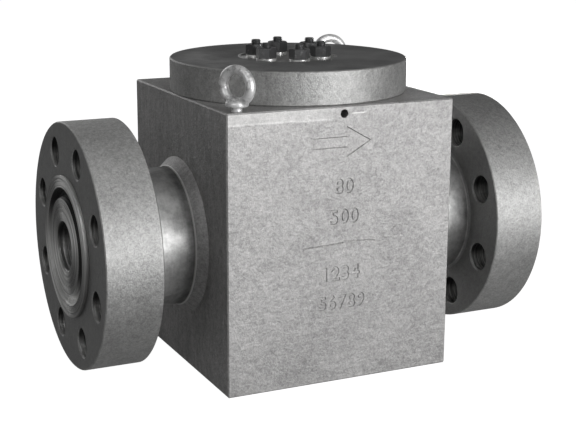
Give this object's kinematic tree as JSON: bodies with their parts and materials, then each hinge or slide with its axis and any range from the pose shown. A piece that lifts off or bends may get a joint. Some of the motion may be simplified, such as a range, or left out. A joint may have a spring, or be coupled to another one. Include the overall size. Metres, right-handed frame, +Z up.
{
  "type": "swing non-return valve",
  "caption": "High pressure swing non-return valve: a forged block with welded ring-joint flanges, a pressure-sealed bonnet under a round cover plate, and lifting eyes.",
  "frame": {"origin": "centre of the block's underside, in the plane that the valve stands on", "axes": "+X along the flow, from the inlet flange to the outlet flange; +Z up, from the underside to the cover plate; +Y away from the marked front face"},
  "size_m": [0.578, 0.3106, 0.3891],
  "materials": {
    "forged_steel": "shot-blasted and oiled forged steel, matt light grey",
    "machined_steel": "turned steel",
    "black_steel": "blackened steel",
    "plated_steel": "bright zinc plated",
    "stainless_steel": "turned stainless steel",
    "hard_facing": "lapped hard facing",
    "graphite": "pressed graphite"
  },
  "bodies": {
    "valve_body": {"body_block": "forged_steel", "inlet_flange": "forged_steel", "outlet_flange": "forged_steel", "cover_plate": "forged_steel", "bonnet": "machined_steel", "seal_gasket": "graphite", "spacer_ring": "stainless_steel", "thrust_segment_1": "machined_steel", "thrust_segment_2": "machined_steel", "thrust_segment_3": "machined_steel", "thrust_segment_4": "machined_steel", "bonnet_studs": "black_steel", "stud_washers": "plated_steel", "stud_nuts": "black_steel", "eye_bolt_front": "plated_steel", "eye_bolt_rear": "plated_steel", "seat_ring": "hard_facing", "hinge_bracket": "stainless_steel", "bracket_screws": "stainless_steel", "hinge_pin": "stainless_steel", "hinge_split_pin": "stainless_steel"},
    "arm": {"swing_arm": "stainless_steel"},
    "disc_set": {"disc": "stainless_steel", "disc_washer": "stainless_steel", "disc_nut": "stainless_steel", "stem_split_pin": "stainless_steel"}
  },
  "joints": [
    {"name": "disc_swing", "type": "hinge", "parent": "valve_body", "child": "arm", "pos_m": [-0.044, 0, 0.222], "axis": [0, -1, 0], "range_deg": [0, 60]},
    {"name": "disc_spin", "type": "hinge", "parent": "arm", "child": "disc_set", "pos_m": [-0.0257, 0, 0.16], "axis": [1, 0, 0], "continuous": true}
  ]
}
